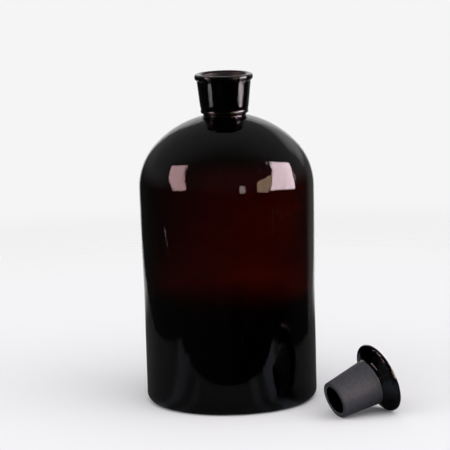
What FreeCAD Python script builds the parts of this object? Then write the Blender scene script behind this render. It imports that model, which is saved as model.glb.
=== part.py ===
import FreeCAD, Part
import math
import os

# Ten-litre apothecary reagent bottle in amber glass, with its hollow ground-glass stopper lying beside it.
# Millimetres. Origin at the centre of the foot, on the bench. +Z runs up the bottle's axis.
# The front of the pair faces -Y and the stopper lies to the right of the front.

# Bottle, outside
BOTTLE_HEIGHT = 408.0
WALL_RADIUS = 106.0            # straight lower wall
SHOULDER_RADIUS = 108.5        # widest place, where the dome springs
WALL_TOP = 100.0               # the straight wall ends here and opens gently to the shoulder
DOME_SPRING = 267.5
DOME_SIDE_ARC = 78.5           # dome: side arc, then a flatter crown arc centred on the axis
DOME_CROWN_ARC = 119.5
HEEL_ARC = 11.0
FOOT_INNER_RADIUS = 82.0       # inner edge of the ring that the bottle stands on
PUNT_HEIGHT = 6.0              # push-up of the base above the bench

# Bottle, inside
HEEL_THICKNESS = 7.8           # the blown wall is thick above the heel
HEEL_GLASS_TOP = 70.0          # and thins from here
THINNEST_GLASS_HEIGHT = 142.0  # up to here, where 3.7 mm is left
INNER_WAIST_RADIUS = 102.7     # inner wall at that height
SHOULDER_THICKNESS = 4.4
CROWN_THICKNESS = 10.0         # the dome thickens again towards the neck
INNER_SIDE_ARC = 64.0
FLOOR_THICKNESS = 9.0
FLOOR_RISE = 4.0               # height of the floor's middle above its edge
INNER_HEEL_ARC = 16.0

# Neck
GROOVE_RADIUS = 26.4           # recess between dome and collar
GROOVE_FLARE = 2.2             # the recess opens by this much onto the dome
GROOVE_RISE = 0.7
GROOVE_ARC = 0.8
COLLAR_BOTTOM = 359.4
COLLAR_BOTTOM_RADIUS = 29.2
BEAD_RADIUS = 29.6             # low bead round the collar's lower edge
BEAD_TOP = 362.4
BEAD_ARC = 1.8
NICK_RADIUS = 29.2             # shallow nick above the bead
NICK_HEIGHT = 364.2
NICK_ARC = 3.0
NICK_TOP = 368.2
RIM_UNDERSIDE = 400.4
RIM_RADIUS = 36.2
RIM_EDGE_ARC = 2.6
RIM_ROOT_ARC = 1.0
RIM_CREST_RADIUS = 32.4        # the rim's rounded top falls away from here to both sides
RIM_CREST_ARC = 4.0
RIM_CREST_SPARE = 0.275        # the corner under the crest's arc stands this far above it
RIM_FALL = 1.0
MOUTH_RADIUS = 29.4            # inner edge of the rim's top
MOUTH_EDGE_DEPTH = 2.2         # the grinding begins this far below the rim's top
MOUTH_EDGE_ARC = 0.6

# Ground joint: one cone for the plug and the socket
PLUG_LARGE_RADIUS = 28.4
PLUG_SMALL_RADIUS = 22.9
PLUG_LENGTH = 51.0
PLUG_TAPER = (PLUG_LARGE_RADIUS - PLUG_SMALL_RADIUS) / PLUG_LENGTH
SEAT_STAND_OFF = 3.6           # ground plug left showing above the mouth when it is seated
SOCKET_LENGTH = 46.0
SOCKET_END_ARC = 0.4
THROAT_RADIUS = 22.3
THROAT_ARC = 2.0
THROAT_FLARE = 4.0             # the throat opens by this much onto the inner dome
THROAT_RISE = 1.4

# Stopper head and hollow
HEAD_RADIUS = 43.8
HEAD_WIDEST = 65.6             # height of the head's lip above the plug's small end
LIP_HALF_HEIGHT = 2.4
LIP_ARC = 2.16
HEAD_CROWN = 8.0               # height of the domed top above the lip
CROWN_INSET = 3.6              # the domed top begins this far inside the lip
CROWN_STEP = 0.3
HEAD_UNDERCUT = 4.4            # flat run under the lip
HEAD_UNDERCUT_ARC = 4.0
HEAD_UNDERCUT_DROP = 1.0
HEAD_NECK_RADIUS = 27.6        # waist between the ground plug and the head
HEAD_NECK_BOTTOM = 1.2         # waist's ends, above the ground plug
HEAD_NECK_TOP = 4.6
HEAD_NECK_ARC = 1.5
HEAD_NECK_FLARE = 0.4
HEAD_FLARE_ARC = 3.5
GROUND_EDGE_ARC = 0.5          # small rounding on the plug's edges
HOLLOW_SMALL_RADIUS = 17.6
HOLLOW_LARGE_RADIUS = 21.8
HOLLOW_DEPTH = 60.0
HOLLOW_END_ARC = 9.0

# Where the stopper lies
STOPPER_X = 123.4              # centre of the plug's small end, seen from above
STOPPER_Y = -127.5
STOPPER_HEADING = 27.5         # direction from small end to head, degrees from +X towards +Y


def at(radius, height):
    """Point of a turned outline, in the plane through the axis."""
    return FreeCAD.Vector(radius, 0.0, height)


def line(start, end):
    return Part.LineSegment(start, end).toShape()


def arc(centre_radius, centre_height, radius, from_deg, to_deg):
    """Arc of a turned outline; angles are measured up from the outward radius."""
    points = []
    for degrees in (from_deg, (from_deg + to_deg) / 2.0, to_deg):
        angle = math.radians(degrees)
        along = radius * math.cos(angle)
        up = radius * math.sin(angle)
        points.append(at(centre_radius + along, centre_height + up))
    return Part.Arc(*points).toShape()


def cap(edge_radius, edge_height, centre_height):
    """Shallow spherical arc from the edge of a disc up to the axis, such as a punt or a domed top."""
    rise = centre_height - edge_height
    sphere = (edge_radius ** 2 + rise ** 2) / (2.0 * rise)
    edge_angle = math.degrees(math.acos(edge_radius / sphere))
    return arc(0.0, centre_height - sphere, sphere, edge_angle, 90.0)


def swell(low_radius, low_height, high_radius, high_height):
    """Gentle S from one wall radius to another, upright at both ends."""
    middle = (low_height + high_height) / 2.0
    curve = Part.BezierCurve()
    curve.setPoles([
        at(low_radius, low_height),
        at(low_radius, middle),
        at(high_radius, middle),
        at(high_radius, high_height),
    ])
    return curve.toShape()


def rounded(corners):
    """Straight runs joined by tangent arcs. Each corner is (radius, height, arc radius)."""
    points = [at(radius, height) for radius, height, _ in corners]
    edges = []
    last = points[0]
    for index in range(1, len(corners) - 1):
        corner = points[index]
        back = (points[index - 1] - corner).normalize()
        ahead = (points[index + 1] - corner).normalize()
        half_angle = back.getAngle(ahead) / 2.0
        fillet = corners[index][2]
        reach = fillet / math.tan(half_angle)
        start = corner + back * reach
        end = corner + ahead * reach
        middle = corner + (back + ahead).normalize() * (fillet / math.sin(half_angle) - fillet)
        edges.append(line(last, start))
        edges.append(Part.Arc(start, middle, end).toShape())
        last = end
    edges.append(line(last, points[-1]))
    return edges


def turned(edges):
    """Solid turned about +Z from a closed outline."""
    wire = Part.Wire(Part.__sortEdges__(edges))
    solid = Part.Face(wire).revolve(FreeCAD.Vector(0, 0, 0), FreeCAD.Vector(0, 0, 1), 360)
    if solid.Volume < 0:
        solid.reverse()
    return solid


def dome(shoulder_radius, side_arc, crown_height, end_radius):
    """Dome outline from the shoulder to end_radius, and the height where it ends.

    A side arc passes smoothly into a crown arc centred on the axis, whose top is at crown_height.
    """
    side_centre = shoulder_radius - side_arc
    spare = crown_height - DOME_SPRING - side_arc
    drop = (side_centre ** 2 - spare ** 2) / (2.0 * spare)
    crown_centre = DOME_SPRING - drop
    crown_arc = crown_height - crown_centre
    join = math.degrees(math.atan2(drop, side_centre))
    end = math.degrees(math.acos(end_radius / crown_arc))
    edges = [
        arc(side_centre, DOME_SPRING, side_arc, 0.0, join),
        arc(0.0, crown_centre, crown_arc, join, end),
    ]
    return edges, crown_centre + crown_arc * math.sin(math.radians(end))


def outer_crown_height():
    """Height where the outer crown arc would meet the axis."""
    spread = DOME_CROWN_ARC - DOME_SIDE_ARC
    side_centre = SHOULDER_RADIUS - DOME_SIDE_ARC
    return DOME_SPRING - math.sqrt(spread ** 2 - side_centre ** 2) + DOME_CROWN_ARC


def socket_radius(height):
    """Radius of the ground socket at a height of the bottle."""
    plug_top = BOTTLE_HEIGHT + SEAT_STAND_OFF
    return PLUG_LARGE_RADIUS - PLUG_TAPER * (plug_top - height)


def bottle_outside():
    """Punt, foot ring, heel, wall and dome, and the height of the dome's top at the neck."""
    heel_centre = WALL_RADIUS - HEEL_ARC
    dome_end = GROOVE_RADIUS + GROOVE_FLARE
    dome_edges, root = dome(SHOULDER_RADIUS, DOME_SIDE_ARC, outer_crown_height(), dome_end)
    edges = [
        cap(FOOT_INNER_RADIUS, 0.0, PUNT_HEIGHT),
        line(at(FOOT_INNER_RADIUS, 0.0), at(heel_centre, 0.0)),
        arc(heel_centre, HEEL_ARC, HEEL_ARC, -90.0, 0.0),
        line(at(WALL_RADIUS, HEEL_ARC), at(WALL_RADIUS, WALL_TOP)),
        swell(WALL_RADIUS, WALL_TOP, SHOULDER_RADIUS, DOME_SPRING),
    ]
    return edges + dome_edges, root


def bottle_inside():
    """Inner dome, wall, heel and floor, and the height of the inner dome's top at the throat."""
    inner_wall = WALL_RADIUS - HEEL_THICKNESS
    inner_shoulder = SHOULDER_RADIUS - SHOULDER_THICKNESS
    heel_height = FLOOR_THICKNESS + INNER_HEEL_ARC
    heel_centre = inner_wall - INNER_HEEL_ARC
    floor_top = FLOOR_THICKNESS + FLOOR_RISE
    inner_crown = outer_crown_height() - CROWN_THICKNESS
    dome_end = THROAT_RADIUS + THROAT_FLARE
    dome_edges, root = dome(inner_shoulder, INNER_SIDE_ARC, inner_crown, dome_end)
    edges = [
        swell(INNER_WAIST_RADIUS, THINNEST_GLASS_HEIGHT, inner_shoulder, DOME_SPRING),
        swell(inner_wall, HEEL_GLASS_TOP, INNER_WAIST_RADIUS, THINNEST_GLASS_HEIGHT),
        line(at(inner_wall, HEEL_GLASS_TOP), at(inner_wall, heel_height)),
        arc(heel_centre, heel_height, INNER_HEEL_ARC, 0.0, -90.0),
        cap(heel_centre, FLOOR_THICKNESS, floor_top),
        line(at(0.0, PUNT_HEIGHT), at(0.0, floor_top)),
    ]
    return edges + dome_edges, root


def neck(outer_root, inner_root):
    """Recess, bead, flared collar, rim, mouth, ground socket and throat, from dome to inner dome."""
    nick_top_radius = COLLAR_BOTTOM_RADIUS + PLUG_TAPER * (NICK_TOP - COLLAR_BOTTOM)
    collar_top_radius = COLLAR_BOTTOM_RADIUS + PLUG_TAPER * (RIM_UNDERSIDE - COLLAR_BOTTOM)
    socket_top = BOTTLE_HEIGHT - MOUTH_EDGE_DEPTH
    socket_bottom = BOTTLE_HEIGHT - SOCKET_LENGTH
    return rounded([
        (GROOVE_RADIUS + GROOVE_FLARE, outer_root, 0.0),
        (GROOVE_RADIUS, outer_root + GROOVE_RISE, GROOVE_ARC),
        (GROOVE_RADIUS, COLLAR_BOTTOM, GROOVE_ARC),
        (BEAD_RADIUS, COLLAR_BOTTOM, BEAD_ARC),
        (BEAD_RADIUS, BEAD_TOP, BEAD_ARC),
        (NICK_RADIUS, NICK_HEIGHT, NICK_ARC),
        (nick_top_radius, NICK_TOP, NICK_ARC),
        (collar_top_radius, RIM_UNDERSIDE, RIM_ROOT_ARC),
        (RIM_RADIUS, RIM_UNDERSIDE, RIM_EDGE_ARC),
        (RIM_RADIUS, BOTTLE_HEIGHT - RIM_FALL, RIM_EDGE_ARC),
        (RIM_CREST_RADIUS, BOTTLE_HEIGHT + RIM_CREST_SPARE, RIM_CREST_ARC),
        (MOUTH_RADIUS, BOTTLE_HEIGHT - RIM_FALL, MOUTH_EDGE_ARC),
        (socket_radius(socket_top), socket_top, SOCKET_END_ARC),
        (socket_radius(socket_bottom), socket_bottom, SOCKET_END_ARC),
        (THROAT_RADIUS, socket_bottom - THROAT_ARC, THROAT_ARC),
        (THROAT_RADIUS, inner_root + THROAT_RISE, THROAT_ARC),
        (THROAT_RADIUS + THROAT_FLARE, inner_root, 0.0),
    ])


def bottle():
    """One piece of blown glass: foot, wall, dome, neck collar, rim, ground socket and inside."""
    outside, outer_root = bottle_outside()
    inside, inner_root = bottle_inside()
    return turned(outside + neck(outer_root, inner_root) + inside)


def upright_stopper():
    """Hollow plug with its domed head, standing on the plug's small end at the origin."""
    lip_low = HEAD_WIDEST - LIP_HALF_HEIGHT
    lip_high = HEAD_WIDEST + LIP_HALF_HEIGHT
    crown_edge = HEAD_RADIUS - CROWN_INSET
    crown_low = lip_high + CROWN_STEP
    crown_top = lip_high + HEAD_CROWN
    outline = rounded([
        (HOLLOW_SMALL_RADIUS, 0.0, 0.0),
        (PLUG_SMALL_RADIUS, 0.0, GROUND_EDGE_ARC),
        (PLUG_LARGE_RADIUS, PLUG_LENGTH, GROUND_EDGE_ARC),
        (HEAD_NECK_RADIUS, PLUG_LENGTH + HEAD_NECK_BOTTOM, HEAD_NECK_ARC),
        (HEAD_NECK_RADIUS + HEAD_NECK_FLARE, PLUG_LENGTH + HEAD_NECK_TOP, HEAD_FLARE_ARC),
        (HEAD_RADIUS - HEAD_UNDERCUT, lip_low - HEAD_UNDERCUT_DROP, HEAD_UNDERCUT_ARC),
        (HEAD_RADIUS, lip_low, LIP_ARC),
        (HEAD_RADIUS, lip_high, LIP_ARC),
        (crown_edge, crown_low, 0.0),
    ])
    outline.append(cap(crown_edge, crown_low, crown_top))
    outline.append(line(at(0.0, HOLLOW_DEPTH), at(0.0, crown_top)))
    outline += rounded([
        (0.0, HOLLOW_DEPTH, 0.0),
        (HOLLOW_LARGE_RADIUS, HOLLOW_DEPTH, HOLLOW_END_ARC),
        (HOLLOW_SMALL_RADIUS, 0.0, 0.0),
    ])
    return turned(outline)


def laid_down(stopper):
    """Stopper on its side on the bench, resting on the plug's end and on the head's lip."""
    lean = math.atan2(HEAD_RADIUS - PLUG_SMALL_RADIUS, HEAD_WIDEST)
    stopper.rotate(FreeCAD.Vector(0, 0, 0), FreeCAD.Vector(0, 1, 0), 90.0 - math.degrees(lean))
    stopper.rotate(FreeCAD.Vector(0, 0, 0), FreeCAD.Vector(0, 0, 1), STOPPER_HEADING)
    drop = stopper.optimalBoundingBox(False).ZMin
    stopper.translate(FreeCAD.Vector(STOPPER_X, STOPPER_Y, -drop))
    return stopper


def write_parts():
    os.makedirs("parts", exist_ok=True)
    pieces = {
        "bottle": bottle(),
        "stopper": laid_down(upright_stopper()),
    }
    for name, solid in pieces.items():
        solid.exportStep("parts/" + name + ".step")


write_parts()
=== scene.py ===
"""Ten-litre amber reagent bottle with its hollow ground-glass stopper lying beside it.

Both pieces are turned shapes, drawn as half outlines in millimetres and spun in edit mode.
The row frame is in metres: the bench is at height 0 and the bottle stands on the origin.
"""

import logging
import math
from collections.abc import Callable
from dataclasses import dataclass, field
from enum import Enum

import bpy
from mathutils import Euler, Matrix, Vector


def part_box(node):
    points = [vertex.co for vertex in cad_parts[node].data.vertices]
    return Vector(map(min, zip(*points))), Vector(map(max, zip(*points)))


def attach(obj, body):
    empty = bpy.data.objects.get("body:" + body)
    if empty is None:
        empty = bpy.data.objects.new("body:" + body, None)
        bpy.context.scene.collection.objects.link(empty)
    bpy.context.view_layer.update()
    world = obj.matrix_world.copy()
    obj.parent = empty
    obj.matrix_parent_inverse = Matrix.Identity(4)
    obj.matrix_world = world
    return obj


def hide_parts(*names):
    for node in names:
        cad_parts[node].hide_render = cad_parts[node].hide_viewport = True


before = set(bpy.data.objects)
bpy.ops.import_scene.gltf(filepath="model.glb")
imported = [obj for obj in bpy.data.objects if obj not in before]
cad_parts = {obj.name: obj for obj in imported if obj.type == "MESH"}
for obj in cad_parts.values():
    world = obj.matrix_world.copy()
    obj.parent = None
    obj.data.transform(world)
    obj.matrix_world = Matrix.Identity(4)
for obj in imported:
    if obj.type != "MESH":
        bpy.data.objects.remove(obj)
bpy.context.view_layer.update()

MM = 0.001
WELD_DISTANCE = 0.01 * MM
WHITE = (1.0, 1.0, 1.0, 1.0)
DEGREES = 180.0 / math.pi
Colour = tuple[float, float, float]
Place = tuple[float, float, float]
Corner = tuple[float, float, float]
Bearing = tuple[float, float]
ReflectionBand = tuple[float, float, float]
Node = bpy.types.Node
Socket = bpy.types.NodeSocket
Value = Socket | float
PlaceTest = Callable[[Vector], bool]
log = logging.getLogger("reagent_bottle")


class Surface(Enum):
    """How a stretch of glass was finished, as the value kept in the piece's own attribute."""

    BLOWN = 0.0
    GROUND = 1.0


# ---------------------------------------------------------------- outlines


class Outline:
    """Half outline of a turned piece, from the axis out and back, in millimetres."""

    CLOSE = 1e-4
    FINEST_STEP = 0.35
    STEPS_PER_ROUNDING = 5.0

    def __init__(self, radius: float, height: float) -> None:
        """Starts the outline.

        Args:
            radius: Distance of the first point from the axis.
            height: Height of the first point.
        """
        self.points: list[tuple[float, float]] = [(radius, height)]

    def add(self, radius: float, height: float) -> None:
        """Adds one point, unless the outline already stands on it."""
        last = self.points[-1]
        if math.hypot(radius - last[0], height - last[1]) > self.CLOSE:
            self.points.append((radius, height))

    def run(self, radius: float, height: float, spacing: float) -> None:
        """Draws a straight run.

        Args:
            radius: Distance of the end from the axis.
            height: Height of the end.
            spacing: Longest step along the run.
        """
        start = self.points[-1]
        length = math.hypot(radius - start[0], height - start[1])
        steps = max(1, math.ceil(length / spacing))
        for step in range(1, steps + 1):
            share = step / steps
            self.add(start[0] + (radius - start[0]) * share, start[1] + (height - start[1]) * share)

    def arc(
        self,
        centre: tuple[float, float],
        radius: float,
        from_deg: float,
        to_deg: float,
        spacing: float,
    ) -> None:
        """Draws an arc whose angles are measured up from the outward radius.

        Args:
            centre: Radius and height of the arc's centre.
            radius: Radius of the arc.
            from_deg: Angle of the arc's start.
            to_deg: Angle of the arc's end.
            spacing: Longest step along the arc.
        """
        swept = math.radians(to_deg - from_deg)
        steps = max(3, math.ceil(abs(swept) * radius / spacing))
        for step in range(steps + 1):
            angle = math.radians(from_deg) + swept * step / steps
            self.add(
                centre[0] + radius * math.cos(angle),
                centre[1] + radius * math.sin(angle),
            )

    def swell(self, radius: float, height: float, spacing: float) -> None:
        """Draws a gentle S to another wall radius, upright at both ends.

        Args:
            radius: Wall radius at the end.
            height: Height of the end.
            spacing: Longest step in height.
        """
        low_radius, low_height = self.points[-1]
        steps = max(2, math.ceil(abs(height - low_height) / spacing))
        for step in range(1, steps + 1):
            share = step / steps
            eased = share * share * (3.0 - 2.0 * share)
            self.add(
                low_radius + (radius - low_radius) * eased,
                low_height + (height - low_height) * share,
            )

    def cap(
        self, edge_radius: float, edge_height: float, middle_height: float, spacing: float
    ) -> None:
        """Draws a shallow spherical arc from a disc's edge in to the axis.

        Args:
            edge_radius: Radius of the disc's edge.
            edge_height: Height of the disc's edge.
            middle_height: Height where the arc meets the axis.
            spacing: Longest step along the arc.
        """
        rise = middle_height - edge_height
        sphere = (edge_radius**2 + rise**2) / (2.0 * rise)
        edge_deg = math.degrees(math.acos(edge_radius / sphere))
        self.arc((0.0, middle_height - sphere), sphere, edge_deg, 90.0, spacing)
        self.points[-1] = (0.0, middle_height)

    def rounded(self, corners: list[Corner], spacing: float) -> None:
        """Draws straight runs joined by tangent corner arcs.

        Args:
            corners: Radius, height and rounding of each corner; the last one is the end.
            spacing: Longest step along a straight run.
        """
        here = Vector(self.points[-1])
        spots = [Vector(corner[:2]) for corner in corners]
        for index, corner in enumerate(corners[:-1]):
            spot, rounding = spots[index], corner[2]
            back = (here - spot).normalized()
            ahead = (spots[index + 1] - spot).normalized()
            half = back.angle(ahead) / 2.0
            reach = rounding / math.tan(half)
            start, end = spot + back * reach, spot + ahead * reach
            middle = spot + (back + ahead).normalized() * (rounding / math.sin(half))
            self.run(start.x, start.y, spacing)
            self._bend(middle, start, end, rounding)
            here = end
        self.run(spots[-1].x, spots[-1].y, spacing)

    def _bend(self, middle: Vector, start: Vector, end: Vector, rounding: float) -> None:
        """Draws the short arc of one rounded corner.

        Args:
            middle: Centre of the arc.
            start: Where the arc begins.
            end: Where the arc ends.
            rounding: Radius of the arc.
        """
        first = math.atan2(start.y - middle.y, start.x - middle.x)
        turn = math.atan2(end.y - middle.y, end.x - middle.x) - first
        turn = (turn + math.pi) % math.tau - math.pi
        self.arc(
            (middle.x, middle.y),
            rounding,
            math.degrees(first),
            math.degrees(first + turn),
            max(self.FINEST_STEP, rounding / self.STEPS_PER_ROUNDING),
        )


# ---------------------------------------------------------------- mesh work


def deselect_all() -> None:
    """Leaves nothing selected, so that the next operator acts on its own piece alone."""
    for other in bpy.context.selected_objects:
        other.select_set(False)


def only(piece: bpy.types.Object) -> None:
    """Makes a piece the only one selected, and the active one."""
    deselect_all()
    piece.select_set(True)
    bpy.context.view_layer.objects.active = piece


def select_where(piece: bpy.types.Object, wanted: PlaceTest) -> None:
    """Selects the vertices of a piece that a test picks, and leaves it in edit mode.

    Args:
        piece: The piece to work on.
        wanted: Test of a vertex's place, in metres.
    """
    only(piece)
    bpy.ops.object.mode_set(mode="EDIT")
    bpy.ops.mesh.select_mode(type="VERT")
    bpy.ops.mesh.select_all(action="DESELECT")
    bpy.ops.object.mode_set(mode="OBJECT")
    for vertex in piece.data.vertices:
        vertex.select = wanted(vertex.co)
    bpy.ops.object.mode_set(mode="EDIT")


def turned(name: str, outline: Outline, steps: int) -> bpy.types.Object:
    """Draws an outline vertex by vertex and spins it about the upright axis.

    Args:
        name: Name of the piece.
        outline: The half outline, beginning and ending on the axis.
        steps: Number of steps round the turn.

    Returns:
        The closed piece, with its faces pointing outwards.
    """
    deselect_all()
    bpy.ops.mesh.primitive_plane_add(size=MM, location=(0.0, 0.0, 0.0))
    piece = bpy.context.object
    piece.name = piece.data.name = name
    bpy.ops.object.mode_set(mode="EDIT")
    bpy.ops.mesh.select_mode(type="VERT")
    bpy.ops.mesh.select_all(action="SELECT")
    bpy.ops.mesh.merge(type="CENTER")
    start = outline.points[0]
    bpy.ops.transform.translate(value=(start[0] * MM, 0.0, start[1] * MM))
    for here, there in zip(outline.points, outline.points[1:]):
        step = ((there[0] - here[0]) * MM, 0.0, (there[1] - here[1]) * MM)
        bpy.ops.mesh.extrude_vertices_move(TRANSFORM_OT_translate={"value": step})
    bpy.ops.mesh.select_all(action="SELECT")
    bpy.ops.mesh.spin(
        steps=steps, angle=math.tau, center=(0.0, 0.0, 0.0), axis=(0.0, 0.0, 1.0)
    )
    bpy.ops.mesh.select_all(action="SELECT")
    bpy.ops.mesh.remove_doubles(threshold=WELD_DISTANCE)
    bpy.ops.mesh.normals_make_consistent(inside=False)
    bpy.ops.object.mode_set(mode="OBJECT")
    bpy.ops.object.shade_smooth()
    return piece


def blown_unevenness(
    piece: bpy.types.Object, wanted: PlaceTest, depth: float, grain: float
) -> None:
    """Gives blown glass its slight unevenness, which makes reflections waver.

    Args:
        piece: The piece to work on.
        wanted: Test of a vertex's place that picks the blown surface.
        depth: Full depth of the unevenness, in metres.
        grain: Size of its waves, in metres.
    """
    group = piece.vertex_groups.new(name="blown")
    group.add([v.index for v in piece.data.vertices if wanted(v.co)], 1.0, "REPLACE")
    waves = bpy.data.textures.new(piece.name + "_waves", "CLOUDS")
    waves.noise_scale = grain
    waves.noise_depth = 1
    only(piece)
    uneven = piece.modifiers.new("unevenness", "DISPLACE")
    uneven.texture = waves
    uneven.texture_coords = "LOCAL"
    uneven.vertex_group = group.name
    uneven.strength = depth
    uneven.mid_level = 0.5
    bpy.ops.object.modifier_apply(modifier=uneven.name)
    piece.vertex_groups.clear()


def mark_surface(piece: bpy.types.Object, is_ground: PlaceTest) -> None:
    """Writes which vertices are ground glass into the piece's own attribute.

    Args:
        piece: The piece to mark.
        is_ground: Test of a vertex's place, in metres.
    """
    marks = piece.data.attributes.new("ground", "FLOAT", "POINT")
    for vertex in piece.data.vertices:
        kind = Surface.GROUND if is_ground(vertex.co) else Surface.BLOWN
        marks.data[vertex.index].value = kind.value


# ---------------------------------------------------------------- finishes


class Bench:
    """Places and joins the nodes of one material or world."""

    def __init__(self, tree: bpy.types.NodeTree) -> None:
        """Takes an empty node tree."""
        self.tree = tree
        self.tree.nodes.clear()

    def node(self, kind: str, **settings: object) -> Node:
        """Adds a node.

        Args:
            kind: Blender's name of the node type.
            **settings: Properties of the node.

        Returns:
            The new node.
        """
        made = self.tree.nodes.new(kind)
        for key, value in settings.items():
            setattr(made, key, value)
        return made

    def join(self, source: Socket, target: Socket) -> None:
        """Joins an output to an input."""
        self.tree.links.new(source, target)

    def feed(self, target: Socket, value: Value | tuple[float, ...]) -> None:
        """Joins a socket to an input, or sets the input if the value is plain."""
        if isinstance(value, Socket):
            self.join(value, target)
        else:
            target.default_value = value

    def math(
        self, operation: str, first: Value, second: Value = 0.0, third: Value = 0.0
    ) -> Socket:
        """Adds a Math node.

        Args:
            operation: Name of the operation.
            first: Socket or number.
            second: Socket or number.
            third: Socket or number.

        Returns:
            The node's result.
        """
        made = self.node("ShaderNodeMath", operation=operation)
        for target, value in zip(made.inputs, (first, second, third)):
            self.feed(target, value)
        return made.outputs[0]

    def ramp(
        self, value: Value, low: float, high: float, to_low: float = 0.0, to_high: float = 1.0
    ) -> Socket:
        """Adds a smooth step between two values.

        Args:
            value: Socket or number.
            low: Value where the step begins.
            high: Value where the step ends.
            to_low: Result at and before the beginning.
            to_high: Result at and after the end.

        Returns:
            The step's result.
        """
        made = self.node("ShaderNodeMapRange", interpolation_type="SMOOTHSTEP")
        for target, number in zip(made.inputs, (value, low, high, to_low, to_high)):
            self.feed(target, number)
        return made.outputs[0]

    def noise(self, vector: Socket, scale: float, detail: float, roughness: float) -> Socket:
        """Adds a noise texture.

        Args:
            vector: Coordinates, in metres.
            scale: Waves per metre.
            detail: Number of finer layers.
            roughness: Strength of the finer layers.

        Returns:
            The noise's value, about 0.5 on average.
        """
        made = self.node("ShaderNodeTexNoise")
        for name, value in (
            ("Vector", vector), ("Scale", scale), ("Detail", detail), ("Roughness", roughness)
        ):
            self.feed(made.inputs[name], value)
        return made.outputs["Fac"]

    def mapped(
        self,
        vector: Socket,
        location: Vector | Place = (0.0, 0.0, 0.0),
        rotation: Euler | Place = (0.0, 0.0, 0.0),
        scale: Place = (1.0, 1.0, 1.0),
    ) -> Socket:
        """Adds a Mapping node.

        Args:
            vector: Coordinates to change.
            location: Shift.
            rotation: Turn, in radians.
            scale: Stretch.

        Returns:
            The changed coordinates.
        """
        made = self.node("ShaderNodeMapping")
        self.join(vector, made.inputs["Vector"])
        made.inputs["Location"].default_value = location
        made.inputs["Rotation"].default_value = rotation
        made.inputs["Scale"].default_value = scale
        return made.outputs["Vector"]

    def coordinates(self, output: str = "Object") -> Socket:
        """Adds a Texture Coordinate node and gives one of its outputs."""
        return self.node("ShaderNodeTexCoord").outputs[output]

    def split(self, vector: Socket) -> dict[str, Socket]:
        """Adds a Separate XYZ node and gives its X, Y and Z."""
        made = self.node("ShaderNodeSeparateXYZ")
        self.join(vector, made.inputs["Vector"])
        return {axis: made.outputs[axis] for axis in "XYZ"}

    def mix(
        self,
        kind: str,
        share: Value,
        first: Value | tuple[float, ...],
        second: Value | tuple[float, ...],
        **settings: object,
    ) -> Socket:
        """Adds a Mix node.

        Args:
            kind: Blender's name of what is mixed, such as FLOAT or RGBA.
            share: Share of the second value.
            first: Socket, number or colour.
            second: Socket, number or colour.
            **settings: Further properties of the node.

        Returns:
            The mixed value.
        """
        made = self.node("ShaderNodeMix", data_type=kind, **settings)
        for name, value in (("Factor", share), ("A", first), ("B", second)):
            self.feed(made.inputs[name], value)
        return made.outputs["Result"]

    def mix_shaders(self, share: Value, first: Node, second: Node) -> Socket:
        """Adds a Mix Shader node for two shader nodes and gives its result."""
        made = self.node("ShaderNodeMixShader")
        for target, value in zip(made.inputs, (share, first.outputs[0], second.outputs[0])):
            self.feed(target, value)
        return made.outputs["Shader"]

    def ray_is(self, kind: str) -> Socket:
        """Gives whether a ray is of a kind, such as Camera; for the stage and world only."""
        return self.node("ShaderNodeLightPath").outputs[f"Is {kind} Ray"]


@dataclass(frozen=True)
class Fade:
    """Smooth change of a level, between two values of what it depends on."""

    begins: float
    ends: float
    before: float = 0.0
    after: float = 1.0

    def of(self, bench: Bench, value: Value) -> Socket:
        """Builds the level at a value."""
        return bench.ramp(value, self.begins, self.ends, self.before, self.after)


@dataclass(frozen=True)
class Grain:
    """Noise in a finish: waves per metre, finer layers, their strength, and its mask."""

    waves: float
    layers: float = 2.0
    strength: float = 0.5
    fade: Fade = Fade(0.0, 1.0)

    def level(self, bench: Bench, place: Socket) -> Socket:
        """Builds the plain noise, about 0.5 on average."""
        return bench.noise(place, self.waves, self.layers, self.strength)

    def mask(self, bench: Bench, place: Socket) -> Socket:
        """Builds the mask of the noise."""
        return self.fade.of(bench, self.level(bench, place))


@dataclass(frozen=True)
class Scratch:
    """Hairline scratch down the glass.

    Bearings are in degrees round from the front towards +X; heights and width in metres.
    It is at full strength over full_width and full_length, as shares of its own.
    """

    top_bearing: float
    top: float
    bottom_bearing: float
    bottom: float
    width: float = 0.0007
    strength: float = 4.0
    wall_radius: float = 0.107
    full_width: float = 0.4
    full_length: float = 0.8

    def mask(self, bench: Bench, place: Socket) -> Socket:
        """Builds the scratch's mask.

        Args:
            bench: The material's bench.
            place: Coordinates in the piece's upright frame.

        Returns:
            The scratch's strength along its line, and 0 elsewhere.
        """
        parts = bench.split(place)
        front = bench.math("MULTIPLY", parts["Y"], -1.0)
        bearing = bench.math("ARCTAN2", parts["X"], front)
        slope = math.radians(self.top_bearing - self.bottom_bearing) / (self.top - self.bottom)
        rise = bench.math("SUBTRACT", parts["Z"], self.bottom)
        line = bench.math("MULTIPLY_ADD", rise, slope, math.radians(self.bottom_bearing))
        off = bench.math("ABSOLUTE", bench.math("SUBTRACT", bearing, line))
        full = self.full_width * self.width / self.wall_radius
        across = bench.ramp(off, full, self.width / self.wall_radius, self.strength, 0.0)
        middle = (self.top + self.bottom) / 2.0
        reach = (self.top - self.bottom) / 2.0
        away = bench.math("ABSOLUTE", bench.math("SUBTRACT", parts["Z"], middle))
        along = bench.ramp(away, reach * self.full_length, reach, 1.0, 0.0)
        return bench.math("MULTIPLY", across, along)


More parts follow.
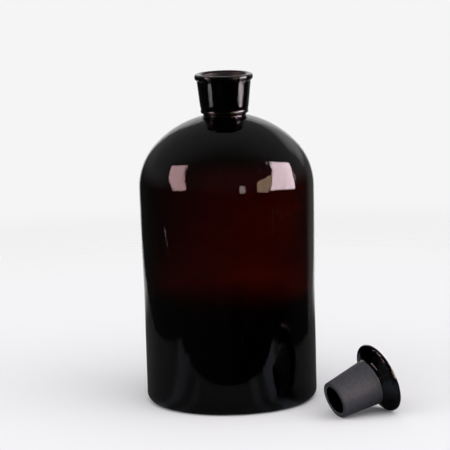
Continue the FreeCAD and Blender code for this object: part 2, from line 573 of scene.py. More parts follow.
@dataclass(frozen=True)
class AmberGlass:
    """Deep amber glass, fire-polished where it was blown and frosted where it was ground.

    The mask of handling is the roughness of the polished glass; depths are in millimetres.
    """

    name: str
    tint: Colour = (0.622, 0.32, 0.0)
    density: float = 1300.0
    refraction: float = 1.52
    handling: Grain = Grain(22.0, 4.0, 0.6, Fade(0.5, 0.8, 0.015, 0.06))
    ground_roughness: float = 0.55
    ground_clearness: float = 0.35
    frost_and_shade_colour: Colour = (0.054, 0.055, 0.068)
    mottle: Grain = Grain(260.0, 3.0, fade=Fade(0.3, 0.7, 0.82, 1.18))
    film: float = 0.016
    streaks: Grain = Grain(40.0, fade=Fade(0.58, 0.72))
    streak_climb: float = 0.6
    smears: Grain = Grain(14.0, 3.0, 0.6, Fade(0.45, 0.75))
    specks: Grain = Grain(520.0, 1.0, fade=Fade(0.74, 0.80))
    speck_share: float = 0.4
    draw_lines: Grain = Grain(9.0, 3.0, 0.55)
    draw_depth: float = 0.35
    seeds: Grain = Grain(700.0, 1.0, fade=Fade(0.78, 0.84))
    seed_depth: float = 0.02
    turning: Grain = Grain(2600.0, 3.0, 0.6)
    turning_stretch: Place = (0.02, 0.02, 1.0)
    turning_depth: float = 0.06
    grit: Grain = Grain(3200.0)
    grit_depth: float = 0.05
    scratches: tuple[Scratch, ...] = ()
    axis_place: Vector = field(default_factory=lambda: Vector((0.0, 0.0, 0.0)))
    axis_turn: Euler = field(default_factory=lambda: Euler((0.0, 0.0, 0.0)))

    def material(self) -> bpy.types.Material:
        """Builds the material.

        Returns:
            The finished material.
        """
        made = bpy.data.materials.new(self.name)
        made.use_nodes = True
        bench = Bench(made.node_tree)
        place = bench.mapped(
            bench.mapped(bench.coordinates(), location=-self.axis_place),
            rotation=self.axis_turn,
        )
        ground = bench.node("ShaderNodeAttribute", attribute_name="ground").outputs["Fac"]
        shader = bench.node("ShaderNodeBsdfPrincipled")
        shader.inputs["IOR"].default_value = self.refraction
        self._colour(bench, shader, place, ground)
        self._gloss(bench, shader, place, ground)
        self._relief(bench, shader, place, ground)
        body = bench.node("ShaderNodeVolumeAbsorption")
        body.inputs["Color"].default_value = (*self.tint, 1.0)
        body.inputs["Density"].default_value = self.density
        end = bench.node("ShaderNodeOutputMaterial")
        bench.join(shader.outputs["BSDF"], end.inputs["Surface"])
        bench.join(body.outputs["Volume"], end.inputs["Volume"])
        return made

    def _colour(self, bench: Bench, shader: Node, place: Socket, ground: Socket) -> None:
        """Clear where polished, dull bluish grey with a faint mottle where ground, where a darker
        grey is painted shade.

        Args:
            bench: The material's bench.
            shader: The surface shader.
            place: Coordinates in the piece's upright frame.
            ground: Share of ground surface.
        """
        mottle = self.mottle.mask(bench, place)
        dull = (*self.frost_and_shade_colour, 1.0)
        frosted = bench.mix("RGBA", 1.0, dull, mottle, blend_type="MULTIPLY")
        bench.join(bench.mix("RGBA", ground, WHITE, frosted), shader.inputs["Base Color"])
        clearness = bench.ramp(ground, 0.0, 1.0, 1.0, self.ground_clearness)
        film = bench.math("MULTIPLY", self._film(bench, place), self.film)
        dulled = bench.math("SUBTRACT", clearness, film)
        bench.join(dulled, shader.inputs["Transmission Weight"])

    def _film(self, bench: Bench, place: Socket) -> Socket:
        """Share of the surface dulled by fine dry streaks, smears and hairline scratches.

        Args:
            bench: The material's bench.
            place: Coordinates in the piece's upright frame.

        Returns:
            The dulled share, from 0 to 1, and more on a scratch.
        """
        drawn = self._round_and_up(bench, place, self.streak_climb)
        streaks, smears = self.streaks.mask(bench, drawn), self.smears.mask(bench, place)
        specks = bench.math("MULTIPLY", self.specks.mask(bench, place), self.speck_share)
        film = bench.math("ADD", bench.math("MULTIPLY", streaks, smears), specks)
        for scratch in self.scratches:
            film = bench.math("ADD", film, scratch.mask(bench, place))
        return film

    def _round_and_up(self, bench: Bench, place: Socket, climb: float) -> Socket:
        """Coordinates that go round the axis and slowly up it, for marks drawn down the glass.

        Args:
            bench: The material's bench.
            place: Coordinates in the piece's upright frame.
            climb: How fast the coordinates change with height.

        Returns:
            The drawn coordinates.
        """
        parts = bench.split(place)
        around = bench.node("ShaderNodeCombineXYZ")
        bench.join(parts["X"], around.inputs["X"])
        bench.join(parts["Y"], around.inputs["Y"])
        compass = bench.node("ShaderNodeVectorMath", operation="NORMALIZE")
        bench.join(around.outputs["Vector"], compass.inputs[0])
        up = bench.node("ShaderNodeCombineXYZ")
        bench.join(bench.math("MULTIPLY", parts["Z"], climb), up.inputs["Z"])
        drawn = bench.node("ShaderNodeVectorMath", operation="ADD")
        bench.join(compass.outputs["Vector"], drawn.inputs[0])
        bench.join(up.outputs["Vector"], drawn.inputs[1])
        return drawn.outputs["Vector"]

    def _gloss(self, bench: Bench, shader: Node, place: Socket, ground: Socket) -> None:
        """Wears the polish unevenly and frosts the ground bands.

        Args:
            bench: The material's bench.
            shader: The surface shader.
            place: Coordinates in the piece's upright frame.
            ground: Share of ground surface.
        """
        worn = self.handling.mask(bench, place)
        rough = bench.mix("FLOAT", ground, worn, self.ground_roughness)
        bench.join(rough, shader.inputs["Roughness"])

    def _relief(self, bench: Bench, shader: Node, place: Socket, ground: Socket) -> None:
        """Adds draw lines down the blown glass and turned lines on the ground bands.

        Args:
            bench: The material's bench.
            shader: The surface shader.
            place: Coordinates in the piece's upright frame.
            ground: Share of ground surface.
        """
        lines = self.draw_lines.level(bench, self._round_and_up(bench, place, 1.0))
        turning = self.turning.level(bench, bench.mapped(place, scale=self.turning_stretch))
        blown_relief = bench.math(
            "ADD",
            bench.math("MULTIPLY", lines, self.draw_depth),
            bench.math("MULTIPLY", self.seeds.mask(bench, place), self.seed_depth),
        )
        ground_relief = bench.math(
            "ADD",
            bench.math("MULTIPLY", turning, self.turning_depth),
            bench.math("MULTIPLY", self.grit.level(bench, place), self.grit_depth),
        )
        bump = bench.node("ShaderNodeBump")
        bump.inputs["Strength"].default_value = 1.0
        bump.inputs["Distance"].default_value = MM
        height = bench.mix("FLOAT", ground, blown_relief, ground_relief)
        bench.join(height, bump.inputs["Height"])
        bench.join(bump.outputs["Normal"], shader.inputs["Normal"])


# ---------------------------------------------------------------- the two pieces


@dataclass
class GroundJoint:
    """The one cone that plug and socket share, in millimetres."""

    large_radius: float = 28.4
    small_radius: float = 22.9
    length: float = 51.0

    @property
    def taper(self) -> float:
        """Growth of the radius for each millimetre up the cone."""
        return (self.large_radius - self.small_radius) / self.length


@dataclass
class Bottle:
    """Blown bottle: punt, heel, wall, dome, recess, collar, rim, socket and inside."""

    joint: GroundJoint
    node: str = "bottle"
    turn_steps: int = 256
    # Outer wall and dome
    wall_radius: float = 106.0
    wall_top: float = 100.0
    dome_spring: float = 267.5
    side_arc: float = 78.5
    crown_arc: float = 119.5
    # Foot
    heel_arc: float = 11.0
    foot_inner_radius: float = 82.0
    foot_edge: float = 1.2
    foot_lift: float = 0.35
    punt: float = 6.0
    # Thickness of the glass, and the inside
    heel_glass: float = 7.8
    heel_glass_top: float = 70.0
    thinnest_glass_height: float = 142.0
    inner_waist_radius: float = 102.7
    shoulder_glass: float = 4.4
    crown_glass: float = 10.0
    inner_side_arc: float = 64.0
    floor_glass: float = 9.0
    floor_rise: float = 4.0
    inner_heel_arc: float = 16.0
    # Recess, collar and its bead
    recess_radius: float = 26.4
    recess_flare: float = 2.2
    recess_gap: float = 0.7
    recess_arc: float = 0.8
    collar_bottom: float = 359.4
    collar_radius: float = 29.2
    bead_radius: float = 29.6
    bead_top: float = 362.4
    bead_arc: float = 1.8
    nick_radius: float = 29.2
    nick_height: float = 364.2
    nick_top: float = 368.2
    nick_arc: float = 3.0
    # Rim and mouth
    rim_underside: float = 400.4
    rim_root_arc: float = 1.0
    rim_radius: float = 36.2
    rim_arc: float = 2.6
    crest_radius: float = 32.4
    crest_spare: float = 0.275
    crest_arc: float = 4.0
    rim_fall: float = 1.0
    mouth_radius: float = 29.4
    mouth_edge: float = 2.2
    mouth_arc: float = 0.6
    # Ground socket and throat
    socket_arc: float = 0.4
    socket_length: float = 46.0
    throat_radius: float = 22.3
    throat_arc: float = 2.0
    throat_slope: float = 2.0
    throat_drop: float = 4.5
    throat_flare: float = 4.0
    throat_gap: float = 1.4
    stand_off: float = 3.6
    # Where it is ground or blown, its waves, and its shifted inner wall
    ground_margin: float = 0.5
    blown_above: float = 14.0
    blown_below_collar: float = 12.0
    wave_depth: float = 0.5
    wave_size: float = 70.0
    inside_shift: float = 0.8
    shift_above: float = 70.0
    shift_below: float = 280.0
    shift_swell: float = 3.0
    shift_reach: float = 50.0
    # Frosted colour of the ground socket, darkened to a painted shade for the inside of the neck.
    frost_and_shade_colour: Colour = (0.012, 0.012, 0.014)
    scratches: tuple[Scratch, ...] = (
        Scratch(-45.5, 0.233, -43.2, 0.206),
        Scratch(-43.0, 0.200, -42.9, 0.1985, width=0.0016),
        Scratch(34.0, 0.252, 38.5, 0.236, strength=2.0),
        Scratch(151.0, 0.225, 146.0, 0.190, strength=3.0),
    )
    height: float = field(init=False)
    shoulder_radius: float = field(init=False)

    def __post_init__(self) -> None:
        """Takes the overall height and width from the frame."""
        low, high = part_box(self.node)
        self.height = (high.z - low.z) / MM
        self.shoulder_radius = (high.x - low.x) / MM / 2.0

    def socket_radius(self, height: float) -> float:
        """Radius of the ground socket at a height of the bottle."""
        plug_top = self.height + self.stand_off
        return self.joint.large_radius - self.joint.taper * (plug_top - height)

    @property
    def outer_crown(self) -> float:
        """Height where the outer crown arc would meet the axis."""
        spread = self.crown_arc - self.side_arc
        side_centre = self.shoulder_radius - self.side_arc
        return self.dome_spring - math.sqrt(spread**2 - side_centre**2) + self.crown_arc

    def _dome(
        self, outline: Outline, shoulder: float, side: float, top: float, neck: float, up: bool
    ) -> float:
        """Draws a dome: a side arc that passes smoothly into a flatter crown arc.

        Args:
            outline: The outline to draw on.
            shoulder: Radius where the dome springs.
            side: Radius of the side arc.
            top: Height where the crown arc would meet the axis.
            neck: Radius where the dome ends at the neck.
            up: True to draw from the shoulder to the neck, False the other way.

        Returns:
            Height of the dome's end at the neck.
        """
        side_centre = shoulder - side
        spare = top - self.dome_spring - side
        drop = (side_centre**2 - spare**2) / (2.0 * spare)
        centre = self.dome_spring - drop
        crown = top - centre
        join = math.degrees(math.atan2(drop, side_centre))
        end = math.degrees(math.acos(neck / crown))
        legs = [
            ((side_centre, self.dome_spring), side, 0.0, join),
            ((0.0, centre), crown, join, end),
        ]
        for middle, radius, low, high in legs if up else reversed(legs):
            first, last = (low, high) if up else (high, low)
            outline.arc(middle, radius, first, last, spacing=3.0)
        return centre + crown * math.sin(math.radians(end))

    def outline(self) -> Outline:
        """Draws the whole half outline, from the punt's middle round to the floor's middle.

        Returns:
            The closed bottle's half outline.
        """
        drawn = self._foot_and_wall()
        dome_end = self.recess_radius + self.recess_flare
        outer_dome = (self.shoulder_radius, self.side_arc, self.outer_crown, dome_end)
        root = self._dome(drawn, *outer_dome, up=True)
        self._neck(drawn, root)
        self._inside(drawn)
        return drawn

    def _foot_and_wall(self) -> Outline:
        """Draws the punt, the foot ring, the heel and the outer wall.

        Returns:
            The outline, which stands where the dome springs.
        """
        punt_edge = self.foot_inner_radius - self.foot_edge
        heel = self.wall_radius - self.heel_arc
        punt = Outline(punt_edge, self.foot_lift)
        punt.cap(punt_edge, self.foot_lift, self.punt, spacing=4.0)
        drawn = Outline(0.0, self.punt)
        for radius, height in reversed(punt.points[:-1]):
            drawn.add(radius, height)
        drawn.run(self.foot_inner_radius + self.foot_edge, 0.0, spacing=0.8)
        drawn.run(heel, 0.0, spacing=3.0)
        drawn.arc((heel, self.heel_arc), self.heel_arc, -90.0, 0.0, spacing=1.2)
        drawn.run(self.wall_radius, self.wall_top, spacing=6.0)
        drawn.swell(self.shoulder_radius, self.dome_spring, spacing=5.0)
        return drawn

    def _neck(self, drawn: Outline, root: float) -> None:
        """Draws the recess, the flared collar, the rim, the mouth and the ground socket.

        Args:
            drawn: The outline, which stands at the dome's top.
            root: Height of the dome's top.
        """
        taper = self.joint.taper
        collar_top = self.collar_radius + taper * (self.rim_underside - self.collar_bottom)
        nick_top = self.collar_radius + taper * (self.nick_top - self.collar_bottom)
        rim_edge = self.height - self.rim_fall
        mouth, bottom = self.height - self.mouth_edge, self.height - self.socket_length
        throat_end = bottom - self.throat_drop
        corners = [
            (self.recess_radius, root + self.recess_gap, self.recess_arc),
            (self.recess_radius, self.collar_bottom, self.recess_arc),
            (self.bead_radius, self.collar_bottom, self.bead_arc),
            (self.bead_radius, self.bead_top, self.bead_arc),
            (self.nick_radius, self.nick_height, self.nick_arc),
            (nick_top, self.nick_top, self.nick_arc),
            (collar_top, self.rim_underside, self.rim_root_arc),
            (self.rim_radius, self.rim_underside, self.rim_arc),
            (self.rim_radius, rim_edge, self.rim_arc),
            (self.crest_radius, self.height + self.crest_spare, self.crest_arc),
            (self.mouth_radius, rim_edge, self.mouth_arc),
            (self.socket_radius(mouth), mouth, self.socket_arc),
            (self.socket_radius(bottom), bottom, self.socket_arc),
            (self.throat_radius, bottom - self.throat_slope, self.throat_arc),
            (self.throat_radius, throat_end, 0.0),
        ]
        drawn.rounded(corners, spacing=3.0)

    def _inside(self, drawn: Outline) -> None:
        """Draws the throat, the inner dome, the inner wall and the floor.

        Args:
            drawn: The outline, which stands in the throat.
        """
        flare = self.throat_radius + self.throat_flare
        shoulder = self.shoulder_radius - self.shoulder_glass
        inner_dome = (shoulder, self.inner_side_arc, self.outer_crown - self.crown_glass, flare)
        inner_root = self._dome(Outline(0.0, 0.0), *inner_dome, up=True)
        wall = self.wall_radius - self.heel_glass
        heel = self.floor_glass + self.inner_heel_arc
        heel_middle = wall - self.inner_heel_arc
        throat_end = (self.throat_radius, inner_root + self.throat_gap, self.throat_arc)
        drawn.rounded([throat_end, (flare, inner_root, 0.0)], spacing=2.0)
        self._dome(drawn, *inner_dome, up=False)
        drawn.swell(self.inner_waist_radius, self.thinnest_glass_height, spacing=5.0)
        drawn.swell(wall, self.heel_glass_top, spacing=5.0)
        drawn.run(wall, heel, spacing=5.0)
        drawn.arc((heel_middle, heel), self.inner_heel_arc, 0.0, -90.0, spacing=2.0)
        floor_middle = self.floor_glass + self.floor_rise
        drawn.cap(heel_middle, self.floor_glass, floor_middle, spacing=4.0)

    def is_ground(self, place: Vector) -> bool:
        """True on the ground socket, inside the neck."""
        radius, height = math.hypot(place.x, place.y) / MM, place.z / MM
        bottom = self.height - self.socket_length - self.ground_margin
        in_socket = bottom < height < self.height - self.mouth_edge
        return in_socket and radius < self.socket_radius(height) + self.ground_margin

    def is_blown(self, place: Vector) -> bool:
        """True on the wall and dome, which were blown and not pressed or ground."""
        return self.blown_above < place.z / MM < self.collar_bottom - self.blown_below_collar

    def build(self) -> bpy.types.Object:
        """Turns the bottle and gives its blown wall a slight unevenness.

        Returns:
            The bottle's mesh, at its place in the frame.
        """
        piece = turned("blown_bottle", self.outline(), self.turn_steps)
        self._shift_inside(piece)
        blown_unevenness(piece, self.is_blown, self.wave_depth * MM, self.wave_size * MM)
        mark_surface(piece, self.is_ground)
        return piece

    def _shift_inside(self, piece: bpy.types.Object) -> None:
        """Shifts the inner wall a little sideways, because blown glass is never even.

        Args:
            piece: The bottle's mesh.
        """
        between_walls = self.wall_radius - self.shoulder_glass / 3.0

        def is_inner_wall(place: Vector) -> bool:
            """True on the inner wall, away from the floor and the throat."""
            radius, height = math.hypot(place.x, place.y) / MM, place.z / MM
            climbed = max(0.0, height - self.wall_top) / (self.dome_spring - self.wall_top)
            limit = between_walls + self.shift_swell * min(1.0, climbed)
            return self.shift_above < height < self.shift_below and radius < limit

        select_where(piece, is_inner_wall)
        bpy.ops.transform.translate(
            value=(self.inside_shift * MM, 0.0, 0.0),
            use_proportional_edit=True,
            use_proportional_connected=True,
            proportional_edit_falloff="SMOOTH",
            proportional_size=self.shift_reach * MM,
        )
        bpy.ops.object.mode_set(mode="OBJECT")

    def dress(self, piece: bpy.types.Object) -> None:
        """Gives the bottle its glass, and puts it on its body.

        Args:
            piece: The bottle's mesh.
        """
        # The socket's frosted colour is darkened as painted shade inside the neck.
        glass = AmberGlass(
            "amber_bottle_glass", frost_and_shade_colour=self.frost_and_shade_colour, scratches=self.scratches
        )
        piece.data.materials.append(glass.material())
        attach(piece, "bottle")
        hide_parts(self.node)


@dataclass
class Stopper:
    """Hollow ground plug with a domed head, lying on its plug's end and its head's lip."""

    joint: GroundJoint
    node: str = "stopper"
    turn_steps: int = 192
    head_radius: float = 43.8
    head_widest: float = 65.6
    lip_arc: float = 2.4
    lip_roundness: float = 0.9
    lip_margin: float = 1.2
    lip_rise: float = 0.3
    crown: float = 8.0
    waist_radius: float = 27.6
    waist_step: float = 1.2
    waist_step_arc: float = 1.5
    waist_height: float = 4.6
    waist_flare: float = 0.4
    waist_arc: float = 3.5
    flare_inset: float = 4.4
    flare_drop: float = 1.0
    flare_arc: float = 4.0
    ground_edge_arc: float = 0.5
    # Hollow of the plug
    hollow_small: float = 17.6
    hollow_large: float = 21.8
    hollow_depth: float = 60.0
    hollow_end_arc: float = 9.0
    hollow_edge_arc: float = 0.6
    # Margins round what was ground
    hollow_margin: float = 1.0
    cone_margin: float = 1.0
    plug_margin: float = 0.4
    end_margin: float = 0.3
    edge_margin: float = 0.2
    # How it lies, in degrees from +X towards +Y, and its glass
    heading: float = 27.5
    density: float = 3000.0

    @property
    def lean(self) -> float:
        """Angle of the axis to the bench when the stopper lies down, in radians."""
        return math.atan2(self.head_radius - self.joint.small_radius, self.head_widest)

    def outline(self) -> Outline:
        """Draws the half outline, from the hollow's end round to the top of the head.

        Returns:
            The closed stopper's half outline.
        """
        plug, waist, edge = self.joint.length, self.waist_radius, self.ground_edge_arc
        lip_low, lip_high = self.head_widest - self.lip_arc, self.head_widest + self.lip_arc
        lip = self.lip_arc * self.lip_roundness
        crown_edge = self.head_radius - self.lip_arc - self.lip_margin
        crown_foot = lip_high + self.lip_rise
        flare = self.head_radius - self.flare_inset
        corners = [
            (self.hollow_large, self.hollow_depth, self.hollow_end_arc),
            (self.hollow_small, 0.0, self.hollow_edge_arc),
            (self.joint.small_radius, 0.0, edge),
            (self.joint.large_radius, plug, edge),
            (waist, plug + self.waist_step, self.waist_step_arc),
            (waist + self.waist_flare, plug + self.waist_height, self.waist_arc),
            (flare, lip_low - self.flare_drop, self.flare_arc),
            (self.head_radius, lip_low, lip),
            (self.head_radius, lip_high, lip),
            (crown_edge, crown_foot, 0.0),
        ]
        drawn = Outline(0.0, self.hollow_depth)
        drawn.rounded(corners, spacing=2.5)
        drawn.cap(crown_edge, crown_foot, lip_high + self.crown, spacing=2.5)
        return drawn

    def is_ground(self, place: Vector) -> bool:
        """True on the plug's side and on its end face, with the stopper upright."""
        radius, height = math.hypot(place.x, place.y) / MM, place.z / MM
        below_waist = height < self.joint.length + self.plug_margin
        on_side = below_waist and radius > self.hollow_large + self.hollow_margin
        cone = self.joint.small_radius + self.joint.taper * height
        on_cone = radius > cone - self.cone_margin
        on_end = height < self.end_margin and radius > self.hollow_small - self.edge_margin
        return (on_side and on_cone) or on_end

    def build(self) -> bpy.types.Object:
        """Turns the stopper upright, marks its ground faces and lays it down.

        Returns:
            The stopper's mesh, at its place in the frame.
        """
        piece = turned("ground_stopper", self.outline(), self.turn_steps)
        mark_surface(piece, self.is_ground)
        only(piece)
        piece.rotation_euler = self.turn()
        bpy.ops.object.transform_apply(location=True, rotation=True, scale=True)
        low = Vector([min(v.co[axis] for v in piece.data.vertices) for axis in range(3)])
        piece.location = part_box(self.node)[0] - low
        self.place = piece.location.copy()
        bpy.ops.object.transform_apply(location=True, rotation=True, scale=True)
        return piece

    def turn(self) -> Euler:
        """Turn that lays the upright stopper down and points it along its heading."""
        return Euler((0.0, math.pi / 2.0 - self.lean, math.radians(self.heading)), "XYZ")

    def dress(self, piece: bpy.types.Object) -> None:
        """Gives the stopper its glass, and puts it on its body.

        Args:
            piece: The stopper's mesh.
        """
        back = self.turn().to_matrix().inverted().to_euler("XYZ")
        glass = AmberGlass(
            "amber_stopper_glass", density=self.density, axis_place=self.place, axis_turn=back
        )
        piece.data.materials.append(glass.material())
        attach(piece, "stopper")
        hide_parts(self.node)


# ---------------------------------------------------------------- the studio


@dataclass(frozen=True)
class LightPanel:
    """Large light panel with upright bars, mirrored in the glass and otherwise unseen.

    Its corners are bearings from a place at eye_height on the bottle's axis: degrees round
    from the front towards +X, and degrees up, in the order lower near, lower far, upper far,
    upper near. A panel with flat_at lies flat at that height and glows on one face only, so
    that the glass on its other side doesn't mirror it.
    """

    name: str
    corners: tuple[Bearing, Bearing, Bearing, Bearing]
    glow: Colour
    bars: int = 0
    bar_level: float = 0.3
    bar_fade: tuple[float, float] = (0.02, 0.06)
    edge_fade: Fade = Fade(0.0, 0.04)
    distance: float = 2.6
    eye_height: float = 0.29
    flat_at: float | None = None
    grid: int = 12

    def _place(self, across: float, up: float) -> Vector:
        """Finds a place on the panel.

        Args:
            across: Share of the way across it.
            up: Share of the way up it.

        Returns:
            The place, in metres.
        """
        near, far, top_far, top_near = (Vector(corner) for corner in self.corners)
        bearing = near.lerp(far, across).lerp(top_near.lerp(top_far, across), up)
        azimuth, elevation = math.radians(bearing.x), math.radians(bearing.y)
        flat = math.cos(elevation)
        ahead = Vector((math.sin(azimuth) * flat, -math.cos(azimuth) * flat, math.sin(elevation)))
        distance = self.distance
        if self.flat_at is not None:
            distance = (self.flat_at - self.eye_height) / ahead.z
        return Vector((0.0, 0.0, self.eye_height)) + ahead * distance

    def build(self) -> bpy.types.Object:
        """Hangs the panel at its bearings.

        Returns:
            The panel.
        """
        deselect_all()
        bpy.ops.mesh.primitive_grid_add(
            x_subdivisions=self.grid, y_subdivisions=self.grid, size=1.0, location=(0.0, 0.0, 0.0)
        )
        panel = bpy.context.object
        panel.name = self.name
        for vertex in panel.data.vertices:
            vertex.co = self._place(vertex.co.x + 0.5, vertex.co.y + 0.5)
        panel.visible_camera = False
        panel.visible_diffuse = False
        panel.visible_shadow = False
        panel.data.materials.append(self._glow_material())
        return panel

    def _glow_material(self) -> bpy.types.Material:
        """Builds the panel's glow, dimmed along its edges and at its bars.

        Returns:
            The glow's material.
        """
        made = bpy.data.materials.new(self.name + "_glow")
        made.use_nodes = True
        bench = Bench(made.node_tree)
        parts = bench.split(bench.coordinates("UV"))
        level = 1.0
        for axis, panes in (("X", self.bars + 1.0), ("Y", 1.0)):
            cell = bench.math("PINGPONG", bench.math("MULTIPLY", parts[axis], panes), 0.5)
            pane = bench.ramp(cell, *self.bar_fade, self.bar_level, 1.0)
            edge = self.edge_fade.of(bench, bench.math("PINGPONG", parts[axis], 0.5))
            level = bench.math("MULTIPLY", bench.math("MULTIPLY", pane, edge), level)
        brightest = max(self.glow)
        glow = bench.node("ShaderNodeEmission")
        glow.inputs["Color"].default_value = (*[part / brightest for part in self.glow], 1.0)
        bench.join(bench.math("MULTIPLY", level, brightest), glow.inputs["Strength"])
        behind = bench.node("ShaderNodeNewGeometry").outputs["Backfacing"]
        unlit = bench.math("MULTIPLY", behind, 0.0 if self.flat_at is None else 1.0)
        sided = bench.mix_shaders(unlit, glow, bench.node("ShaderNodeBsdfTransparent"))
        end = bench.node("ShaderNodeOutputMaterial")
        bench.join(sided, end.inputs["Surface"])
        return made


PANELS = (
    LightPanel(
        "left_panel", ((-52.0, 4.5), (-73.5, 0.1), (-95.0, 33.0), (-70.0, 44.0)), (6.4, 4.1, 4.2)
    ),
    LightPanel(
        "right_panel",
        ((56.5, 0.5), (98.0, -5.5), (108.0, 26.0), (76.5, 43.5)),
        (12.5, 9.8, 10.6),
        bars=1,
        bar_level=0.7,
    ),
    LightPanel(
        "right_inner_panel",
        ((36.5, 1.0), (54.0, -3.0), (71.0, 27.0), (38.5, 18.0)),
        (3.6, 2.5, 1.7),
        bars=4,
        bar_level=0.2,
    ),
    LightPanel(
        "right_small_panel",
        ((16.0, 1.0), (21.0, 1.0), (21.0, 13.0), (17.0, 16.0)),
        (4.0, 3.4, 3.2),
        bars=1,
    ),
    LightPanel(
        "left_strip",
        ((-56.0, -19.3), (-74.0, -19.3), (-74.0, -13.0), (-56.0, -13.0)),
        (2.3, 2.15, 2.2),
        eye_height=0.385,
        flat_at=0.28,
    ),
    LightPanel(
        "right_strip",
        ((88.0, -19.3), (67.0, -19.3), (67.0, -13.0), (88.0, -13.0)),
        (8.0, 6.9, 7.3),
        eye_height=0.385,
        flat_at=0.28,
    ),
)


@dataclass
class Room:
    """Surroundings: an even backdrop to look at, and a dim room for the glass to mirror.

    Fades go by degrees round from behind the bottle towards +X, or by degrees up, apart
    from the two that go by how far a direction points to the back, from -1 to 1.
    """

    backdrop: float
    backdrop_top: tuple[float, float] = (26.0, 34.0)
    middle: Fade = Fade(14.0, 22.0, 1.0, 0.16)
    upper: Fade = Fade(2.0, 14.0, 0.0, 0.6)
    sides: tuple[Fade, ...] = (
        Fade(-22.0, -14.0, 0.025, 1.0),
        Fade(40.0, 55.0, 1.0, 0.016),
        Fade(-170.0, -100.0, 0.6, 1.0),
    )
    through_glass: Fade = Fade(60.0, 75.0)
    ceiling: Fade = Fade(-0.5, 0.3, 0.045, 0.17)
    ceiling_rise: Fade = Fade(-5.0, 15.0, 0.1, 1.0)
    soft_light: Fade = Fade(-0.7, 0.7, 1.66, 0.44)

    def build(self) -> None:
        """Builds the world's nodes and hangs the world in the scene."""
        world = bpy.data.worlds.new("studio_room")
        bpy.context.scene.world = world
        world.use_nodes = True
        bench = Bench(world.node_tree)
        parts = bench.split(bench.coordinates("Generated"))
        lit = bench.mix(
            "FLOAT",
            bench.ray_is("Diffuse"),
            self._mirrored(bench, parts),
            self.soft_light.of(bench, parts["Y"]),
        )
        sky = bench.node("ShaderNodeBackground")
        sky.inputs["Color"].default_value = WHITE
        level = bench.mix("FLOAT", bench.ray_is("Camera"), lit, self.backdrop)
        bench.join(level, sky.inputs["Strength"])
        end = bench.node("ShaderNodeOutputWorld")
        bench.join(sky.outputs["Background"], end.inputs["Surface"])

    def _mirrored(self, bench: Bench, parts: dict[str, Socket]) -> Socket:
        """Builds what the glass mirrors and what shows through it.

        Args:
            bench: The world's bench.
            parts: The direction's X, Y and Z.

        Returns:
            The room's level.
        """
        azimuth = bench.math("ARCTAN2", parts["X"], parts["Y"])
        azimuth = bench.math("MULTIPLY", azimuth, DEGREES)
        elevation = bench.math("MULTIPLY", bench.math("ARCSINE", parts["Z"]), DEGREES)
        level = bench.math(
            "MAXIMUM", self.middle.of(bench, azimuth), self.upper.of(bench, elevation)
        )
        for side in self.sides:
            level = bench.math("MULTIPLY", side.of(bench, azimuth), level)
        top = bench.ramp(elevation, *self.backdrop_top, self.backdrop, 0.0)
        aside = self.through_glass.of(bench, bench.math("ABSOLUTE", azimuth))
        aside = bench.math("MULTIPLY", bench.ray_is("Transmission"), aside)
        ceiling = bench.math(
            "MULTIPLY", self.ceiling.of(bench, parts["Y"]), self.ceiling_rise.of(bench, elevation)
        )
        level = bench.math(
            "MAXIMUM",
            bench.math("MULTIPLY", level, top),
            bench.math("MULTIPLY", aside, self.backdrop),
        )
        return bench.math("MAXIMUM", level, ceiling)


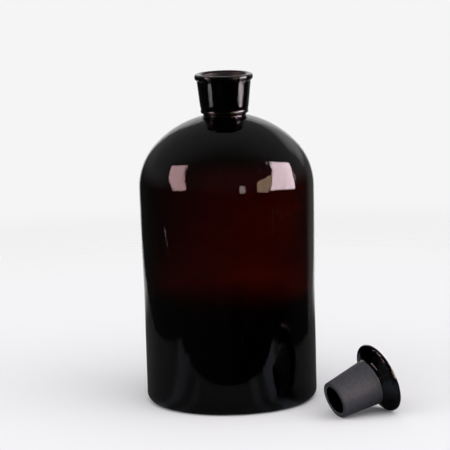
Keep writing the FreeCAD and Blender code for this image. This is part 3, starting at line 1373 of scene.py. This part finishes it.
@dataclass
class Studio:
    """Pale floor, pale backdrop, soft light and the camera."""

    backdrop: float = 0.913
    floor_colour: Colour = (0.82, 0.81, 0.835)
    # Painted shade: the floor the glass mirrors and shows through keeps this share of its colour.
    mirrored_floor_shade: float = 0.10
    # Painted reflections of the windows in the glossy table, as paler bands on the floor the glass
    # sees: bearing, half width in degrees, and share.
    window_reflection_colour: Colour = (0.25, 0.27, 0.33)
    streaks: tuple[ReflectionBand, ...] = (
        (-60.0, 10.0, 0.45),
        (-38.0, 5.0, 0.25),
        (24.0, 5.0, 0.4),
        (46.0, 11.0, 0.9),
    )
    window_reflection_core: float = 0.4
    # Painted shadow behind the bottle: the floor seen in the glass turns pale again between these
    # distances behind, in metres.
    painted_shadow_end: Fade = Fade(0.40, 0.75)
    floor_radius: float = 3.0
    floor_drop: float = 0.0002
    floor_fade: Fade = Fade(0.35, 1.5, 1.0, 0.0)
    table_edge: float = -0.275
    table_edge_soft: float = 0.01
    table_slant: float = -0.08
    table_sides: tuple[float, float] = (-0.50, 0.43)
    table_side_soft: float = 0.02
    lamps: tuple[tuple[str, Place, float, float], ...] = (
        ("key_light", (-1.6, -1.0, 2.4), 2.2, 1.5),
        ("fill_light", (1.8, -1.2, 2.2), 2.4, 7.0),
        ("top_light", (0.0, 0.8, 2.6), 2.6, 4.0),
    )
    lamp_aim: Place = (0.0, 0.0, 0.05)
    camera_distance: float = 3.502
    camera_height: float = 0.831
    camera_pitch: float = 9.918
    camera_yaw: float = 0.054
    camera_roll: float = -1.587
    lens: float = 229.1

    def build(self) -> None:
        """Builds the whole studio."""
        Room(self.backdrop).build()
        self._floor()
        self._lights()
        for panel in PANELS:
            panel.build()
        self._camera()
        bpy.context.scene.view_settings.view_transform = "Standard"

    def _floor(self) -> None:
        """Builds the pale floor, which fades into the backdrop all round."""
        deselect_all()
        place = (0.0, 0.0, -self.floor_drop)
        bpy.ops.mesh.primitive_circle_add(
            vertices=96, radius=self.floor_radius, fill_type="NGON", location=place
        )
        floor = bpy.context.object
        floor.name = "floor"
        floor.data.materials.append(self._floor_material())

    def _floor_material(self) -> bpy.types.Material:
        """Builds the floor's matt pale finish; in the glass it is smaller and dimmer, a painted
        shade in front of the bottle and a painted shadow behind it.

        Returns:
            The floor's material.
        """
        made = bpy.data.materials.new("floor_paper")
        made.use_nodes = True
        bench = Bench(made.node_tree)
        place = bench.coordinates()
        parts = bench.split(place)
        length = bench.node("ShaderNodeVectorMath", operation="LENGTH")
        bench.join(place, length.inputs[0])
        fade = self.floor_fade.of(bench, length.outputs["Value"])
        seen = bench.ray_is("Camera")
        mirrored = bench.math("MULTIPLY", fade, self._on_table(bench, parts))
        # Painted shade: a dim copy of the floor for the rays of the glass.
        dim = tuple(part * self.mirrored_floor_shade for part in self.floor_colour)
        # Painted reflections of the windows in the table, as paler bluish bands.
        dim = bench.mix(
            "RGBA", self._painted_window_reflections(bench, parts), (*dim, 1.0), (*self.window_reflection_colour, 1.0)
        )
        # Camera rays, and the floor beyond the bottle's painted shadow, get the pale colour.
        pale = bench.math("MAXIMUM", seen, self.painted_shadow_end.of(bench, parts["Y"]))
        matt = bench.node("ShaderNodeBsdfDiffuse")
        bench.join(bench.mix("RGBA", pale, dim, (*self.floor_colour, 1.0)), matt.inputs["Color"])
        shown = bench.mix("FLOAT", seen, mirrored, fade)
        sheet = bench.mix_shaders(shown, bench.node("ShaderNodeBsdfTransparent"), matt)
        end = bench.node("ShaderNodeOutputMaterial")
        bench.join(sheet, end.inputs["Surface"])
        return made

    def _on_table(self, bench: Bench, parts: dict[str, Socket]) -> Socket:
        """Builds how much of the floor the glass mirrors, up to the table's edges.

        Args:
            bench: The material's bench.
            parts: The place's X, Y and Z.

        Returns:
            The mirrored share.
        """
        slant = bench.math("MULTIPLY", parts["X"], -self.table_slant)
        soft = self.table_edge_soft
        level = bench.ramp(
            bench.math("ADD", parts["Y"], slant), self.table_edge - soft, self.table_edge + soft
        )
        soft = self.table_side_soft
        for side in self.table_sides:
            out = bench.math("MULTIPLY", parts["X"], math.copysign(1.0, side))
            inside = bench.ramp(out, abs(side) - soft, abs(side) + soft, 1.0, 0.0)
            level = bench.math("MULTIPLY", level, inside)
        return level

    def _painted_window_reflections(self, bench: Bench, parts: dict[str, Socket]) -> Socket:
        """Builds the paler bands of painted window reflection on the mirrored floor, by degrees
        round from the front.

        Args:
            bench: The material's bench.
            parts: The place's X, Y and Z.

        Returns:
            The painted reflections' share.
        """
        front = bench.math("MULTIPLY", parts["Y"], -1.0)
        bearing = bench.math("MULTIPLY", bench.math("ARCTAN2", parts["X"], front), DEGREES)
        bands = 0.0
        for middle, half, share in self.streaks:
            off = bench.math("ABSOLUTE", bench.math("SUBTRACT", bearing, middle))
            band = bench.ramp(off, half * self.window_reflection_core, half, share, 0.0)
            bands = bench.math("ADD", band, bands)
        return bands

    def _lights(self) -> None:
        """Hangs the soft lights, which light the scene but aren't mirrored in the glass."""
        for name, place, size, power in self.lamps:
            lamp = bpy.data.lights.new(name, "AREA")
            lamp.shape = "SQUARE"
            lamp.size = size
            lamp.energy = power
            holder = bpy.data.objects.new(name, lamp)
            bpy.context.scene.collection.objects.link(holder)
            holder.location = place
            aim = Vector(self.lamp_aim) - holder.location
            holder.rotation_euler = aim.to_track_quat("-Z", "Y").to_euler()
            holder.visible_camera = False
            holder.visible_glossy = False
            holder.visible_transmission = False

    def _camera(self) -> None:
        """Sets the camera up in front, looking slightly down."""
        lens = bpy.data.cameras.new("camera")
        lens.lens = self.lens
        lens.dof.use_dof = False
        camera = bpy.data.objects.new("camera", lens)
        bpy.context.scene.collection.objects.link(camera)
        tilt, yaw = math.radians(90.0 - self.camera_pitch), math.radians(self.camera_yaw)
        upright = Euler((tilt, 0.0, yaw))
        roll = Matrix.Rotation(math.radians(self.camera_roll), 4, "Z")
        place = Matrix.Translation((0.0, -self.camera_distance, self.camera_height))
        camera.matrix_world = place @ upright.to_matrix().to_4x4() @ roll
        bpy.context.scene.camera = camera


def main() -> None:
    """Builds the pieces in order, then the studio round them."""
    logging.basicConfig(level=logging.INFO, format="%(message)s")
    joint = GroundJoint()
    for maker in (Bottle(joint), Stopper(joint)):
        piece = maker.build()
        maker.dress(piece)
        log.info("%s: %d faces", piece.name, len(piece.data.polygons))
    Studio().build()
    log.info("studio ready")


if __name__ == "__main__":
    main()
